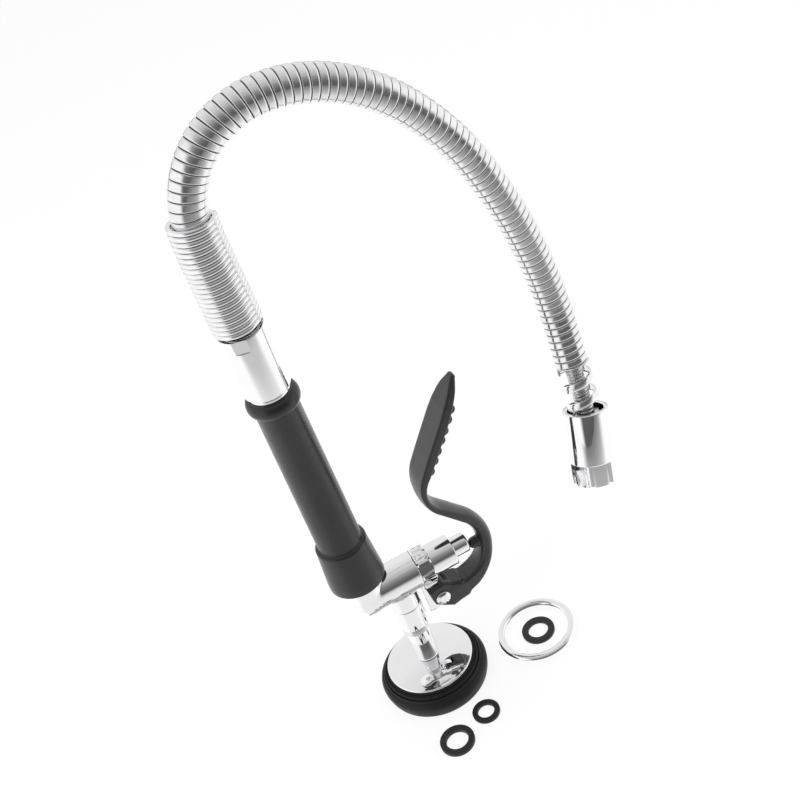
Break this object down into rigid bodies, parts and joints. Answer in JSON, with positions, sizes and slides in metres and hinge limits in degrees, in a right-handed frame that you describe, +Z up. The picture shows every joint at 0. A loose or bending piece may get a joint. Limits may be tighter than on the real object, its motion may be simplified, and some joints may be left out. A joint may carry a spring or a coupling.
{
  "type": "pre rinse spray valve and hose",
  "caption": "Hand spray valve with a domed spray head in a rubber bumper, squeeze lever, long grip, coil-guarded strip-wound hose with end coupling, and loose ring and washers.",
  "frame": {"origin": "centre of the rubber bumper's flat underside", "axes": "+Z up out of the spray face, along the grip; +X along the valve barrel away from the grip, towards the lever and the hose's end; the grip, barrel and hose lie in the plane Y = 0"},
  "size_m": [0.1931, 0.1012, 0.423],
  "materials": {
    "chrome_valve": "polished chrome plate on brass",
    "chrome_dish": "mirror-polished chrome",
    "chrome_fittings": "polished chrome plate on brass",
    "chrome_ring": "polished chrome wire ring",
    "hose_steel": "bright stainless strip, wound",
    "spring_steel": "bright plated spring wire",
    "inner_steel": "stainless, as turned",
    "inner_brass": "bare turned brass",
    "lever_black": "black satin plastic coat",
    "grip_rubber": "dark grey-black satin rubber",
    "bumper_rubber": "black matt rubber",
    "seal_rubber": "black rubber",
    "washer_rubber": "black rubber, lightly sheened",
    "packing_fibre": "pale graphite-free packing cord and fibre",
    "liner_rubber": "dark grey hose rubber"
  },
  "bodies": {
    "body": {"valve_body": "chrome_valve", "valve_seat": "inner_brass", "stem_packing": "packing_fibre", "bonnet": "chrome_valve", "bonnet_gasket": "packing_fibre", "bonnet_cap": "chrome_valve", "return_spring": "spring_steel", "outlet_washer": "seal_rubber", "neck_collar": "chrome_valve", "spray_neck": "chrome_valve", "neck_locknut": "inner_brass", "dish_gasket": "seal_rubber", "spray_dish": "chrome_dish", "spray_plate": "chrome_dish", "face_screw": "inner_steel", "bumper": "bumper_rubber", "lever_pin": "chrome_valve", "pin_nut": "chrome_valve", "handle_tube": "inner_brass", "handle_seal": "seal_rubber", "grip_sleeve": "grip_rubber", "handle_collar": "chrome_fittings", "hose_ferrule": "chrome_fittings", "ferrule_washer": "seal_rubber", "hose_barb": "inner_brass", "spring_guard": "spring_steel", "hose_sheath": "hose_steel", "sheath_tail": "hose_steel", "hose_liner": "liner_rubber", "hose_tail": "inner_brass", "hold_down_ring": "chrome_ring", "washer_small": "washer_rubber", "washer_middle": "washer_rubber", "washer_large": "washer_rubber"},
    "lever": {"lever": "lever_black"},
    "plunger": {"plunger": "chrome_valve", "valve_stem": "inner_steel", "seat_disc": "seal_rubber", "disc_screw": "inner_steel"},
    "coupling": {"end_coupling": "chrome_fittings", "coupling_washer": "seal_rubber"}
  },
  "joints": [
    {"name": "lever_hinge", "type": "hinge", "parent": "body", "child": "lever", "pos_m": [0.022, 0, 0.067], "axis": [0, -1, 0], "range_deg": [0, 10], "stiffness_Nm_per_rad": 0.45, "springref_deg": -8.59},
    {"name": "plunger_slide", "type": "slide", "parent": "body", "child": "plunger", "axis": [-1, 0, 0], "range_m": [0, 0.0042], "deforming": ["return_spring"]},
    {"name": "coupling_swivel", "type": "hinge", "parent": "body", "child": "coupling", "pos_m": [0.1407, -0.0169, 0.1558], "axis": [0.2217, 0.2672, 0.9378], "continuous": true}
  ],
  "couplings": [
    {"joint": "plunger_slide", "follows": "lever_hinge", "m_per_rad": 0.0235}
  ]
}
